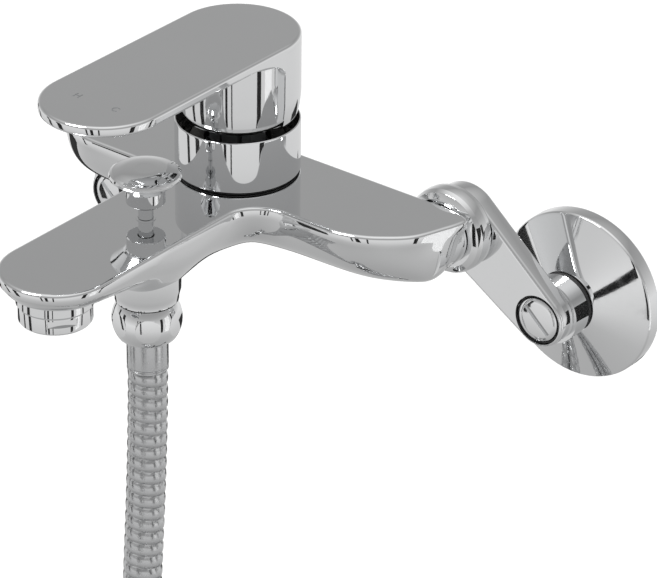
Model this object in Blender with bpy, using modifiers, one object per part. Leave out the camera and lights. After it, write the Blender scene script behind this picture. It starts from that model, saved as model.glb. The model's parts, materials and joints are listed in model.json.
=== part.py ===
"""Wall mounted bath faucet with a lever handle, a push-down diverter and a coiled shower hose.

Lengths below are in millimetres. Heights are measured from the flat top of the spout and arms, and
depths from the axis of the cartridge, positive towards the wall. place() turns them into metres in
the part's frame, whose origin lies on the wall plane, midway between and level with the two inlets.
"""

import math

import bmesh
import bpy
from mathutils import Vector

MM = 0.001
GAP = 0.3  # running clearance left between neighbouring pieces

WALL_DEPTH = 64.0
INLET_HEIGHT = -12.0

SPOUT_HALF_WIDTH = 21.0
SPOUT_TIP_CENTRE = -98.7
SPOUT_DEPTHS = ((10, 24.4), (-20, 23.8), (-35, 22.3), (-60, 19.0), (-80, 16.4), (-98.7, 13.6))
TOP_EDGE = 1.0
HULL_POWER = 2.25

ARM_FRONT = -17.3
ARM_FILLET = (36.0, -30.0, 15.0, 12.7)  # centre across, centre depth, half axes
ARM_TIP_FRONT = (
    (60, -17.3),
    (66, -15.4),
    (73.3, -10.9),
    (78.5, -6.2),
    (82.3, -2.4),
    (85.3, 4),
    (87.3, 10.1),
    (89, 17),
)
ARM_TIP_BACK = ((0, 23.4), (76, 23.4), (82, 23.0), (86, 22.0), (89.7, 20.2))
ARM_DEPTHS = ((0, 24.4), (17, 24.2), (43, 23.0), (62, 22.8), (73, 22.4), (80, 21.4), (86, 19.4), (89, 17.0))
INLET_ACROSS = 75.0

RING_RADIUS = 23.0
RING_BOTTOM = 1.0
RING_TOP = 21.0
NECK_RADIUS = 20.6
NECK_TOP = 13.0
POCKET_RADIUS = 17.8
POCKET_FLOOR = -10.5
CHANNEL_HEIGHT = -15.2
CHANNEL_RADIUS = 3.2

HANDLE_BOTTOM = 22.6
HANDLE_TOP = 55.3
HANDLE_PLATE = 4.0
HANDLE_TIP_CENTRE = -72.6
HANDLE_PIVOT = 30.0

DIVERTER_DEPTH = -51.4
DIVERTER_ROD = 2.75
KNOB_TOP = 20.0

AERATOR_DEPTH = -100.2
AERATOR_RADIUS = 13.2
AERATOR_TOP = -12.9
AERATOR_BOTTOM = -19.6

OUTLET_RADIUS = 11.6
OUTLET_BOTTOM = -32.2
HOSE_RADIUS = 7.25

BAR_FRONT = 33.7
BAR_BACK = 41.7
BAR_LENGTH = 45.4
BAR_RADII = (14.0, 10.7)
BAR_ANGLES = {"right": -36.5, "left": -110.0}  # from the right-hand direction, seen from the front
STOP_RADIUS = 8.45
STOP_SLOT_ANGLE = 42.0
HUB_RADIUS = 12.0
HUB_BACK = 49.2
ESCUTCHEON_RADIUS = 32.4
ESCUTCHEON_FRONT = 51.5
ESCUTCHEON_RIM = 5.7
NIPPLE_RADIUS = 10.2
NIPPLE_END = 82.0

COIL_RADIUS = 82.0
COIL_CENTRE = (-38.0, -290.0)  # depth, height
COIL_SIDES = (-7.5, 37.4)
FAR_END_ACROSS = 50.0

HOSE_ROUTE = (
    (0, -51.4, -61.0),
    (0, -51.6, -73),
    (0, -52.1, -87),
    (0, -52.8, -101),
    (0, -53.6, -115),
    (0, -54.6, -129),
    (0, -55.6, -143),
    (0, -56.6, -157),
    (0, -58.4, -171),
    (0, -62.6, -186),
    (0, -68.4, -198.6),
)


def clear_scene():
    for item in list(bpy.data.objects):
        bpy.data.objects.remove(item, do_unlink=True)


def new_collection(name):
    collection = bpy.data.collections.new(name)
    bpy.context.scene.collection.children.link(collection)
    return collection


def new_material(name, colour, roughness, metallic):
    look = bpy.data.materials.new(name)
    look.use_nodes = True
    shader = look.node_tree.nodes["Principled BSDF"]
    shader.inputs["Base Color"].default_value = (*colour, 1.0)
    shader.inputs["Roughness"].default_value = roughness
    shader.inputs["Metallic"].default_value = metallic
    return look


def place(across, depth, height):
    """A point of the faucet as metres in the part's frame."""
    return Vector((across, depth - WALL_DEPTH, height - INLET_HEIGHT)) * MM


def add_object(name, mesh, look, at=(0, 0, 0)):
    """A new object for a mesh. A look of None makes it a cutter."""
    item = bpy.data.objects.new(name, mesh)
    if look is None:
        cutters.objects.link(item)
        item.hide_render = True
        item.display_type = "WIRE"
    else:
        faucet.objects.link(item)
        mesh.materials.append(look)
    item.location = place(*at)
    return item


def combine(target, other, operation, solver="EXACT"):
    modifier = target.modifiers.new(f"{operation.title()} {other.name}", "BOOLEAN")
    modifier.operation = operation
    modifier.object = other
    modifier.solver = solver


def cut(target, *others, solver="EXACT"):
    for other in others:
        combine(target, other, "DIFFERENCE", solver)


def join(target, *others, solver="EXACT"):
    for other in others:
        combine(target, other, "UNION", solver)


AXES = {
    "up": (0.0, 0.0, 0.0),
    "room": (math.pi / 2, 0.0, 0.0),
    "wall": (-math.pi / 2, 0.0, 0.0),
    "right": (0.0, math.pi / 2, 0.0),
}


def lathe(name, profile, look, at=(0, 0, 0), axis="up", steps=20, loop=False):
    """A turned piece from (radius, height) points that run down its outer side, top to bottom."""
    mesh = bpy.data.meshes.new(name)
    points = [(radius * MM, 0.0, height * MM) for radius, height in profile]
    edges = [(i, i + 1) for i in range(len(points) - 1)]
    if loop:
        edges.append((len(points) - 1, 0))
    mesh.from_pydata(points, edges, [])
    item = add_object(name, mesh, look, at)
    item.rotation_euler = AXES[axis]
    screw = item.modifiers.new("Turn", "SCREW")
    screw.steps = steps
    screw.render_steps = steps
    screw.use_merge_vertices = True
    screw.merge_threshold = 0.00001
    screw.use_smooth_shade = True
    return item


def rod(name, radius, top, bottom, look, at=(0, 0, 0), axis="up", steps=16):
    profile = ((0, top), (radius, top), (radius, bottom), (0, bottom))
    return lathe(name, profile, look, at, axis, steps)


def tube(name, outer, inner, top, bottom, look, at=(0, 0, 0), axis="up", steps=20):
    profile = ((inner, top), (outer, top), (outer, bottom), (inner, bottom))
    return lathe(name, profile, look, at, axis, steps, loop=True)


def box(name, low, high, look, turn=None):
    """A box between two corners, turned by an (axis, degrees) pair about its own middle."""
    mesh = bpy.data.meshes.new(name)
    build = bmesh.new()
    bmesh.ops.create_cube(build, size=1.0)
    size = [(b - a) * MM for a, b in zip(low, high)]
    bmesh.ops.scale(build, vec=size, verts=build.verts)
    build.to_mesh(mesh)
    build.free()
    item = add_object(name, mesh, look, [(a + b) / 2 for a, b in zip(low, high)])
    if turn:
        item.rotation_euler["XYZ".index(turn[0])] = math.radians(turn[1])
    return item


def arc(centre, radius, start, end, count):
    """Points on an arc, in degrees, both ends included. radius may be a pair of half axes."""
    wide, high = radius if isinstance(radius, tuple) else (radius, radius)
    points = []
    for i in range(count + 1):
        angle = math.radians(start + (end - start) * i / count)
        points.append((centre[0] + wide * math.cos(angle), centre[1] + high * math.sin(angle)))
    return points


def plate(name, outline, thickness, look, at, rotation=(0, 0, 0), edge=0.0):
    """A flat outline made solid, centred on its plane, with its edges rounded by edge."""
    curve = bpy.data.curves.new(name, "CURVE")
    curve.dimensions = "2D"
    curve.fill_mode = "BOTH"
    curve.extrude = (thickness / 2 - edge) * MM
    if edge:
        curve.bevel_depth = edge * MM
        curve.bevel_resolution = 1
        curve.offset = -edge * MM
    spline = curve.splines.new("POLY")
    spline.points.add(len(outline) - 1)
    spline.use_cyclic_u = True
    for point, (u, v) in zip(spline.points, outline):
        point.co = (u * MM, v * MM, 0.0, 1.0)
    guide = bpy.data.objects.new(f"{name} outline", curve)
    guide.location = place(*at)
    guide.rotation_euler = [math.radians(turn) for turn in rotation]
    cutters.objects.link(guide)
    bpy.context.view_layer.update()
    evaluated = guide.evaluated_get(bpy.context.evaluated_depsgraph_get())
    mesh = bpy.data.meshes.new_from_object(evaluated)
    mesh.name = name
    weld(mesh)
    matrix = guide.matrix_world.copy()
    bpy.data.objects.remove(guide, do_unlink=True)
    item = add_object(name, mesh, look)
    item.matrix_world = matrix
    return item


def weld(mesh):
    build = bmesh.new()
    build.from_mesh(mesh)
    bmesh.ops.remove_doubles(build, verts=build.verts, dist=0.000001)
    bmesh.ops.recalc_face_normals(build, faces=build.faces)
    build.to_mesh(mesh)
    build.free()


def loft(name, sections, look):
    """A solid through closed sections of equal point count, with flat ends."""
    mesh = bpy.data.meshes.new(name)
    build = bmesh.new()
    rings = [[build.verts.new(place(*point)) for point in section] for section in sections]
    count = len(rings[0])
    for first, second in zip(rings, rings[1:]):
        for i in range(count):
            j = (i + 1) % count
            build.faces.new((first[i], first[j], second[j], second[i]))
    build.faces.new(rings[0])
    build.faces.new(rings[-1])
    bmesh.ops.recalc_face_normals(build, faces=build.faces)
    build.to_mesh(mesh)
    build.free()
    mesh.shade_smooth()
    mesh.set_sharp_from_angle(angle=math.radians(40))
    return add_object(name, mesh, look, (0, WALL_DEPTH, INLET_HEIGHT))


def between(table, value):
    """A value read from a table of (position, value) pairs in order of position."""
    rows = sorted(table)
    if value <= rows[0][0]:
        return rows[0][1]
    for (low, first), (high, second) in zip(rows, rows[1:]):
        if value <= high:
            return first + (second - first) * (value - low) / (high - low)
    return rows[-1][1]


def hull_section(half_width, depth, count=10):
    """(across, height) points of a flat-topped section with a boat-shaped underside."""
    edge = min(TOP_EDGE, 0.4 * half_width, 0.3 * depth)
    points = [(-half_width + edge, 0.0)]
    points += arc((half_width - edge, -edge), edge, 90, 0, 2)
    for i in range(1, count):
        angle = math.pi * i / count
        swing = abs(math.cos(angle)) ** (2 / HULL_POWER)
        drop = math.sin(angle) ** (2 / HULL_POWER)
        across = math.copysign(half_width * swing, math.cos(angle))
        points.append((across, -edge - (depth - edge) * drop))
    points += arc((-half_width + edge, -edge), edge, 180, 90, 2)[:-1]
    return points


def spout_loft(look):
    depths = (10, -20, -35, -60, -80)
    stations = [(depth, SPOUT_HALF_WIDTH, between(SPOUT_DEPTHS, depth)) for depth in depths]
    deepest = between(SPOUT_DEPTHS, SPOUT_TIP_CENTRE)
    for degrees in (0, 14, 28, 42, 55, 67, 77, 84.5, 88.5):
        angle = math.radians(degrees)
        depth = SPOUT_TIP_CENTRE - SPOUT_HALF_WIDTH * math.sin(angle)
        stations.append((depth, SPOUT_HALF_WIDTH * math.cos(angle), deepest * math.cos(angle) ** 0.75))
    sections = []
    for depth, half_width, drop in stations:
        sections.append([(u, depth, v) for u, v in hull_section(half_width, drop)])
    return loft("body_casting", sections, look)


def arm_front(across):
    centre_across, centre_depth, wide, deep = ARM_FILLET
    if across <= centre_across - wide:
        return centre_depth
    if across < centre_across:
        share = (centre_across - across) / wide
        return centre_depth + deep * math.sqrt(1 - share * share)
    if across < ARM_TIP_FRONT[0][0]:
        return ARM_FRONT
    return between(ARM_TIP_FRONT, across)


def arms_loft():
    half = [0, 21, 21.6, 23.2, 26.5, 31, 36, 60, 66, 73.3, 78.5, 82.3, 85.3, 87.3, 89]
    stations = [-across for across in reversed(half[1:])] + half
    sections = []
    for across in stations:
        front = arm_front(abs(across))
        back = between(ARM_TIP_BACK, abs(across))
        middle = (front + back) / 2
        points = hull_section((back - front) / 2, between(ARM_DEPTHS, abs(across)))
        sections.append([(across, middle + u, v) for u, v in points])
    return loft("arms", sections, None)


def outlet_boss():
    flare = [(OUTLET_RADIUS, OUTLET_BOTTOM + 3.2), (OUTLET_RADIUS + 0.5, -26.5), (13.1, -24.2)]
    flare += [(14.9, -22.2)]
    profile = [(0, -14.0), (17.0, -14.0), (17.0, -20.7), *reversed(flare)]
    profile += [(OUTLET_RADIUS, OUTLET_BOTTOM), (0, OUTLET_BOTTOM)]
    return lathe("outlet boss", profile, None, (0, DIVERTER_DEPTH, 0))


def body_cutters():
    pocket = rod("cartridge pocket", POCKET_RADIUS, NECK_TOP + 1, POCKET_FLOOR, None, steps=20)
    ports = [rod("hot port", 3.0, -9.5, CHANNEL_HEIGHT, None, (-8, 5, 0), steps=10)]
    ports.append(rod("cold port", 3.0, -9.5, CHANNEL_HEIGHT, None, (8, 5, 0), steps=10))
    ports.append(rod("mixed port", 3.0, -9.5, CHANNEL_HEIGHT, None, (0, -9, 0), steps=10))
    for side in (-1, 1):
        ends = sorted((side * 5.5, side * INLET_ACROSS))
        at = (0, 5, CHANNEL_HEIGHT)
        ports.append(rod(f"arm channel {side}", CHANNEL_RADIUS, ends[1], ends[0], None, at, "right", 10))
        at = (side * INLET_ACROSS, 0, INLET_HEIGHT)
        stepped = [(0, 26), (6.6, 26), (6.6, 7.5), (5.0, 7.5), (5.0, 2.5), (0, 2.5)]
        ports.append(lathe(f"inlet bore {side}", stepped, None, at, "wall"))
    at = (0, 0, CHANNEL_HEIGHT)
    ports.append(rod("spout channel", CHANNEL_RADIUS, 50, 6.5, None, at, "room", 10))
    return [pocket, *ports, diverter_bore(), spout_waterway(), aerator_pocket()]


def diverter_bore():
    profile = [(0, 2), (4.0, 2), (4.0, -4.0), (7.5, -4.0), (7.5, -8.5), (5.0, -8.5), (5.0, -10.0)]
    profile += [(8.0, -10.0), (8.0, OUTLET_BOTTOM - 1), (0, OUTLET_BOTTOM - 1)]
    return lathe("diverter bore", profile, None, (0, DIVERTER_DEPTH, 0))


def spout_waterway():
    return box("spout waterway", (-5.5, AERATOR_DEPTH, -8.3), (5.5, DIVERTER_DEPTH, -4.2), None)


def aerator_pocket():
    rim = AERATOR_RADIUS + GAP
    profile = [(0, -5.5), (11.9, -5.5), (11.9, AERATOR_TOP + GAP), (rim, AERATOR_TOP + GAP)]
    profile += [(rim, -22), (0, -22)]
    return lathe("aerator pocket", profile, None, (0, AERATOR_DEPTH, 0))


def make_body():
    body = spout_loft(chrome)
    neck = rod("neck", NECK_RADIUS, NECK_TOP, -4, None, steps=24)
    under = (0, AERATOR_DEPTH, 0)
    collar = rod("aerator collar", AERATOR_RADIUS, -4.5, AERATOR_TOP + GAP, None, under, steps=32)
    bosses = [neck, outlet_boss(), collar]
    for side in (-1, 1):
        at = (side * INLET_ACROSS, 0, INLET_HEIGHT)
        bosses.append(rod(f"inlet boss {side}", 12.2, 23.9, 8, None, at, "wall"))
    # The crossing bores leave open edges with the EXACT solver.
    join(body, arms_loft(), *bosses, solver="MANIFOLD")
    cut(body, *body_cutters(), solver="MANIFOLD")


def three_ports(piece, top, bottom):
    for name, at in (("hot", (-8, 5, 0)), ("cold", (8, 5, 0)), ("mixed", (0, -9, 0))):
        cut(piece, rod(f"{piece.name} {name} hole", 2.9, top + 1, bottom - 1, None, at, steps=8))


def make_cartridge():
    seal = rod("cartridge_base_seal", 17.3, -8.9, -10.2, rubber, steps=24)
    three_ports(seal, -8.9, -10.2)
    profile = [(0, -6.0), (15.6, -6.0), (15.6, 6.8), (11.6, 6.8), (11.6, 9.4), (16.4, 9.4)]
    profile += [(17.5, 8.2), (17.5, -8.6), (0, -8.6)]
    housing = lathe("cartridge_housing", profile, plastic)
    three_ports(housing, -6.0, -8.6)
    fixed = rod("ceramic_disc_fixed", 15.2, -2.7, -5.7, ceramic, steps=24)
    three_ports(fixed, -2.7, -5.7)
    profile = [(0, 0.4), (10.2, 0.4), (10.2, -2.4), (7.0, -2.4), (7.0, -1.0), (0, -1.0)]
    lathe("ceramic_disc_moving", profile, ceramic)
    make_carrier()
    make_rotor()
    tube("cartridge_nut", 17.5, 12.4, NECK_TOP, 9.7, brass)


def make_carrier():
    carrier = rod("disc_carrier", 10.2, 3.2, 0.7, plastic)
    join(carrier, box("carrier post", (-3.6, -4.6, 2.0), (3.6, 4.6, 18.0), None))
    cut(carrier, box("carrier slot", (-5, -2.6, 15.2), (5, 2.6, 22), None))


def make_rotor():
    rotor = rod("cartridge_rotor", 15.2, 6.5, 3.5, plastic, steps=24)
    for side in (-1, 1):
        low, high = sorted((side * 5.2, side * 9.8))
        join(rotor, box(f"rotor ear {side}", (low, -4, 5), (high, 4, 34), None))
    cut(rotor, box("rotor window", (-4.4, -10.5, 2), (4.4, 6.0, 8), None))
    cut(rotor, rod("rotor pin hole", 1.8, 12, -12, None, (0, 0, HANDLE_PIVOT), "right", 16))
    rod("cartridge_pin", 1.5, 9.6, -9.6, steel, (0, 0, HANDLE_PIVOT), "right", 16)


def make_stem():
    stem = box("lever_stem", (-4.6, -3.5, 22), (4.6, 3.5, 46), brass)
    join(stem, box("stem finger", (-3.0, -2.2, 16.2), (3.0, 2.2, 23), None))
    cut(stem, rod("stem pin hole", 1.8, 12, -12, None, (0, 0, HANDLE_PIVOT), "right", 16))


def handle_wall():
    """The full-height rear half of the hub, drawn in a little at its foot."""
    side = RING_RADIUS - 0.05
    profile = [(0, 52), (side, 52), (side, 31.5), (22.6, 28), (22.1, 25)]
    profile += [(21.6, HANDLE_BOTTOM), (0, HANDLE_BOTTOM)]
    wall = lathe("handle wall", profile, None, steps=32)
    cut(wall, box("wall front", (-30, -30, 20), (30, -1, 60), None))
    return wall


def handle_arch():
    """The web whose curved underside carries the sides of the hub into the plate."""
    underside = HANDLE_TOP - HANDLE_PLATE
    outline = arc((-20, 45), (19, underside + 0.3 - 45), 0, 90, 8)
    outline += [(-20, 53), (2, 53), (2, 45)]
    width = 2 * (RING_RADIUS - 0.05)
    return plate("handle arch", outline, width, None, (0, 0, 0), (90, 0, 90))


def handle_hub():
    profile = [(0, 52), (22.8, 52), (22.1, 50.6), (21.4, 49.2), (21.0, 47.5), (21.0, 30), (20.7, 26)]
    profile += [(20.1, HANDLE_BOTTOM), (0, HANDLE_BOTTOM)]
    return lathe("handle hub", profile, None, steps=32)


def make_handle():
    outline = arc((0, 0), RING_RADIUS, 0, 180, 15)
    outline += arc((0, HANDLE_TIP_CENTRE), RING_RADIUS, 180, 360, 15)
    at = (0, 0, HANDLE_TOP - HANDLE_PLATE / 2)
    handle = plate("handle", outline, HANDLE_PLATE, chrome, at, edge=0.9)
    join(handle, handle_wall(), handle_arch(), handle_hub())
    cavity = rod("handle cavity", 17.5, 36, HANDLE_BOTTOM - 1, None)
    socket = box("stem socket", (-4.9, -3.8, 35), (4.9, 3.8, 46.4), None)
    bore = rod("handle screw bore", 2.7, 24, 2, None, (0, 0, 41), "wall", 16)
    cut(handle, cavity, socket, bore)
    rod("handle_screw", 2.4, 12, 3.8, steel, (0, 0, 41), "wall", 16)
    rod("handle_screw_plug", 2.4, 22.7, 19, plastic, (0, 0, 41), "wall", 16)


def make_cover_ring():
    tube("cover_ring_seal", 22.4, 20.9, 0.75, 0.25, rubber, steps=24)
    profile = [(22.1, 20.2), (22.3, RING_TOP - 0.2), (22.6, RING_TOP), (RING_RADIUS, RING_TOP - 0.4)]
    profile += [(RING_RADIUS, RING_BOTTOM), (20.9, RING_BOTTOM), (20.9, 14.5), (22.1, 14.5)]
    lathe("cover_ring", profile, chrome, steps=48, loop=True)


def make_diverter():
    at = (0, DIVERTER_DEPTH, 0)
    profile = [(0, KNOB_TOP), (9.0, KNOB_TOP - 0.3), (11.6, KNOB_TOP - 1.0), (12.9, KNOB_TOP - 2.0)]
    profile += [(13.1, KNOB_TOP - 2.8)]
    profile += [(12.7, 16.5), (10.6, 14.5), (8.4, 12.7), (7.4, 11.6), (7.1, 10.5), (7.1, 6.6)]
    profile += [(3.05, 6.6), (3.05, 15.0), (0, 15.0)]
    lathe("diverter_knob", profile, chrome, at)
    rod("diverter_rod", DIVERTER_ROD, 14.7, -16.8, steel, at)
    profile = [(3.05, 0.3), (3.6, 0.3), (3.7, -1.7), (3.05, -1.7)]
    lathe("diverter_bush", profile, brass, at, loop=True, steps=16)
    tube("diverter_rod_ring", 3.7, 3.05, -2.0, -3.7, rubber, at, steps=16)
    tube("diverter_upper_seal", 6.8, 3.05, -10.4, -11.4, rubber, at, steps=16)
    tube("diverter_plunger", 7.2, 3.05, -11.7, -14.0, brass, at, steps=16)
    tube("diverter_lower_seal", 6.8, 3.05, -14.3, -15.4, rubber, at, steps=16)
    tube("diverter_plunger_nut", 4.4, 3.05, -15.7, -17.0, brass, at, steps=16)
    tube("diverter_seat", 7.7, 5.0, -22.0, -24.0, brass, at, steps=16)


def make_aerator():
    at = (0, AERATOR_DEPTH, 0)
    tube("aerator_gasket", 11.6, 8.8, -5.8, -6.6, rubber, at)
    profile = [(9.6, -6.9), (11.6, -6.9), (11.6, AERATOR_TOP), (12.9, AERATOR_TOP), (AERATOR_RADIUS, -13.3)]
    profile += [(AERATOR_RADIUS, -18.6), (12.4, AERATOR_BOTTOM), (10.4, AERATOR_BOTTOM), (9.6, -18.4)]
    lathe("aerator_housing", profile, chrome, at, steps=24, loop=True)
    insert = rod("aerator_insert", 9.3, -8.2, -17.6, plastic, at, steps=24)
    for i in range(6):
        angle = math.radians(60 * i)
        spot = (5.4 * math.cos(angle), AERATOR_DEPTH + 5.4 * math.sin(angle), 0)
        cut(insert, rod(f"aerator jet {i}", 1.3, -7, -19, None, spot, steps=8), solver="MANIFOLD")


def make_outlet():
    at = (0, DIVERTER_DEPTH, 0)
    profile = [(5.6, -24.3), (7.7, -24.3), (7.7, -32.6), (9.9, -32.6), (9.9, -40.5), (5.6, -40.5)]
    lathe("outlet_nipple", profile, brass, at, loop=True)
    tube("hose_washer", 9.6, 5.6, -40.8, -42.1, rubber, at, steps=16)
    ball = [(11.5, -32.6), (12.3, -35.0), (12.7, -38.0), (12.8, -40.0), (12.4, -42.5), (11.5, -44.6)]
    ball += [(9.9, -46.5), (7.9, -47.8)]
    inside = [(6.9, -47.8), (6.9, -44.3), (9.9, -44.3), (10.3, -42.2), (10.3, -32.6)]
    lathe("hose_nut", ball + inside, chrome, at, loop=True)
    make_ferrule("hose_ferrule", at, "up", -42.4)


def make_ferrule(name, at, axis, top):
    """A hose end: a flange inside the nut, a neck through its lip, and a sleeve."""
    profile = [(5.0, top), (9.6, top), (9.6, top - 1.6), (6.6, top - 1.6), (6.6, top - 5.7)]
    profile += [(7.6, top - 5.7), (7.6, top - 18.2), (5.0, top - 18.2)]
    return lathe(name, profile, steel_bright, at, axis, loop=True)


def smooth_route(points, spacing):
    """Points a spacing apart on a Catmull-Rom curve through the route."""
    knots = [Vector(point) for point in points]
    knots = [2 * knots[0] - knots[1], *knots, 2 * knots[-1] - knots[-2]]
    path = []
    for a, b, c, d in zip(knots, knots[1:], knots[2:], knots[3:]):
        count = max(1, round((c - b).length / spacing))
        for i in range(count):
            t = i / count
            bend = (2 * a - 5 * b + 4 * c - d) * t**2 + (3 * b - a - 3 * c + d) * t**3
            path.append(0.5 * (2 * b + (c - a) * t + bend))
    path.append(knots[-2])
    return path


def make_hose():
    curve = bpy.data.curves.new("shower_hose", "CURVE")
    curve.dimensions = "3D"
    curve.bevel_depth = HOSE_RADIUS * MM
    curve.bevel_resolution = 3
    curve.use_fill_caps = True
    path = smooth_route(HOSE_ROUTE, 14)
    spline = curve.splines.new("POLY")
    spline.points.add(len(path) - 1)
    for point, spot in zip(spline.points, path):
        point.co = (*(spot * MM), 1.0)
    hose = bpy.data.objects.new("shower_hose", curve)
    hose.location = place(0, 0, 0)
    curve.materials.append(steel_bright)
    faucet.objects.link(hose)


def make_coil():
    outer = COIL_RADIUS + HOSE_RADIUS
    inner = COIL_RADIUS - HOSE_RADIUS
    low, high = COIL_SIDES
    at = (0, *COIL_CENTRE)
    tube("hose_coil", outer, inner, high, low, steel_bright, at, "right", 40)
    tie = box("hose_tie", (low - 2, -5, inner - 2.2), (high + 2, 5, outer + 2.2), rubber)
    opening = box("tie opening", (low - 0.5, -9, inner - 0.7), (high + 0.5, 9, outer + 0.5), None)
    for item in (tie, opening):
        item.location += place(*at) - place(0, 0, 0)
    cut(tie, opening)


def make_far_end():
    """The hose's free end: a ferrule and a conical nut, beside the coil and pointing up."""
    depth, height = COIL_CENTRE
    at = (FAR_END_ACROSS, depth + COIL_RADIUS, height + 21.0)
    profile = [(9.6, 18.2), (9.6, 16.6), (6.6, 16.6), (6.6, 12.5), (7.6, 12.5), (7.6, 0), (5.0, 0)]
    lathe("far_ferrule", [*profile, (5.0, 18.2)], steel_bright, at, loop=True)
    tube("far_washer", 9.6, 5.6, 19.8, 18.5, rubber, at, steps=16)
    outside = [(11.4, 29.0), (12.0, 28.4), (12.0, 24.0), (10.6, 16.0), (8.0, 13.0)]
    inside = [(6.9, 13.0), (6.9, 16.3), (9.9, 16.3), (10.2, 18.5), (10.2, 29.0)]
    lathe("far_nut", outside + inside, chrome, at, loop=True)


def wall_axis(side):
    """Across and height of the eccentric bar's wall end."""
    angle = math.radians(BAR_ANGLES[side])
    union = INLET_ACROSS if side == "right" else -INLET_ACROSS
    return union + BAR_LENGTH * math.cos(angle), INLET_HEIGHT + BAR_LENGTH * math.sin(angle)


def bar_outline(side):
    """The teardrop hull of the two round ends, seen from the front, about the union's axis."""
    heading = BAR_ANGLES[side]
    big, small = BAR_RADII
    lean = math.degrees(math.acos((big - small) / BAR_LENGTH))
    angle = math.radians(heading)
    far = (BAR_LENGTH * math.cos(angle), BAR_LENGTH * math.sin(angle))
    outline = arc((0, 0), big, heading + lean, heading + 360 - lean, 13)
    return outline + arc(far, small, heading - lean, heading + lean, 8)


def make_bar(side, union, wall):
    at = (union, (BAR_FRONT + BAR_BACK) / 2, INLET_HEIGHT)
    thickness = BAR_BACK - BAR_FRONT
    bar = plate(f"eccentric_bar_{side}", bar_outline(side), thickness, chrome, at, (90, 0, 0), 1.2)
    at = (union, 0, INLET_HEIGHT)
    spigot = rod(f"spigot {side}", 13.0, BAR_FRONT + 2, BAR_FRONT - 3.4, None, at, "wall", 24)
    hub = rod(f"hub {side}", HUB_RADIUS, HUB_BACK, BAR_BACK - 2, None, (wall[0], 0, wall[1]), "wall", 24)
    join(bar, spigot, hub)
    cut(bar, rod(f"union bore {side}", 6.5, 38.5, 29, None, (union, 0, INLET_HEIGHT), "wall"))
    stepped = [(0, 51), (8.4, 51), (8.4, 42.0), (5.4, 42.0), (5.4, 36.7), (9.6, 36.7), (9.6, 32), (0, 32)]
    cut(bar, lathe(f"valve bore {side}", stepped, None, (wall[0], 0, wall[1]), "wall"))
    cut(bar, bar_channel(side, union, wall))


def bar_channel(side, union, wall):
    middle = ((union + wall[0]) / 2, 38.8, (INLET_HEIGHT + wall[1]) / 2)
    reach = BAR_LENGTH / 2 - 3
    channel = rod(f"bar channel {side}", 1.9, reach, -reach, None, middle, "right", 12)
    channel.rotation_euler = (0.0, math.radians(90 - BAR_ANGLES[side]), 0.0)
    return channel


def make_stop_screw(side, wall):
    at = (wall[0], 0, wall[1])
    profile = [(0, -33.6), (STOP_RADIUS - 0.4, -33.6), (STOP_RADIUS, -34.0), (STOP_RADIUS, -36.3)]
    profile += [(5.0, -36.3), (5.0, -41.6), (0, -41.6)]
    screw = lathe(f"stop_screw_{side}", profile, chrome, at, "room")
    depth = BAR_FRONT + 0.5
    slot = box(f"slot {side}", (-10, depth - 2, -0.8), (10, depth + 0.7, 0.8), None, ("Y", STOP_SLOT_ANGLE))
    slot.location += place(wall[0], 0, wall[1]) - place(0, 0, 0)
    cut(screw, slot)
    tube(f"stop_screw_ring_{side}", 9.35, 8.75, -34.3, -36.3, rubber, at, "room")


def make_wall_pieces(side, wall):
    at = (wall[0], 0, wall[1])
    tube(f"seal_ring_{side}", 11.8, 10.5, -HUB_BACK - GAP, -HUB_BACK - 2.0, rubber, at, "room")
    front = ESCUTCHEON_FRONT
    rim = WALL_DEPTH - ESCUTCHEON_RIM
    edge = ESCUTCHEON_RADIUS
    outside = [(12.0, -front), (edge - 0.8, -rim + 0.35), (edge, -rim - 0.4), (edge, -WALL_DEPTH)]
    inside = [(edge - 1.4, -WALL_DEPTH), (edge - 1.4, -rim - 1.3), (12.4, -front - 1.6)]
    inside += [(10.6, -front - 1.6), (10.6, -front)]
    lathe(f"escutcheon_{side}", outside + inside, chrome, at, "room", 32, loop=True)
    profile = [(6.0, -42.4), (8.1, -42.4), (8.1, -49.5), (NIPPLE_RADIUS, -49.5)]
    profile += [(NIPPLE_RADIUS, -NIPPLE_END), (6.0, -NIPPLE_END)]
    lathe(f"wall_nipple_{side}", profile, brass, at, "room", 24, loop=True)


def make_union(side, union):
    at = (union, 0, INLET_HEIGHT)
    profile = [(5.2, -8), (6.3, -8), (6.3, -24.2), (9.0, -24.2), (9.0, -26.7), (12.2, -26.7), (12.2, -28.5)]
    lathe(f"inlet_tail_{side}", [*profile, (5.2, -28.5)], brass, at, "room", 24, loop=True)
    tube(f"union_washer_{side}", 12.2, 6.6, -28.8, -30.0, rubber, at, "room", 24)
    outside = [(9.3, -24.4), (15.6, -24.4), (16.5, -25.3), (16.5, -32.6), (15.8, -33.4)]
    inside = [(13.4, -33.4), (13.4, -26.4), (9.3, -26.4)]
    lathe(f"union_nut_{side}", outside + inside, chrome, at, "room", 32, loop=True)


def make_inlets():
    for side, union in (("right", INLET_ACROSS), ("left", -INLET_ACROSS)):
        wall = wall_axis(side)
        make_union(side, union)
        make_bar(side, union, wall)
        make_stop_screw(side, wall)
        make_wall_pieces(side, wall)


clear_scene()
faucet = new_collection("Wall mounted bath faucet")
cutters = new_collection("Cutters")
chrome = new_material("Polished chrome", (0.78, 0.79, 0.80), 0.06, 1.0)
steel_bright = new_material("Plated steel", (0.70, 0.71, 0.72), 0.16, 1.0)
steel = new_material("Stainless steel", (0.58, 0.58, 0.59), 0.28, 1.0)
brass = new_material("Brass", (0.76, 0.60, 0.32), 0.32, 1.0)
rubber = new_material("Black rubber", (0.02, 0.02, 0.02), 0.75, 0.0)
plastic = new_material("Grey plastic", (0.34, 0.35, 0.36), 0.5, 0.0)
ceramic = new_material("White ceramic", (0.86, 0.86, 0.84), 0.25, 0.0)

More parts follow.
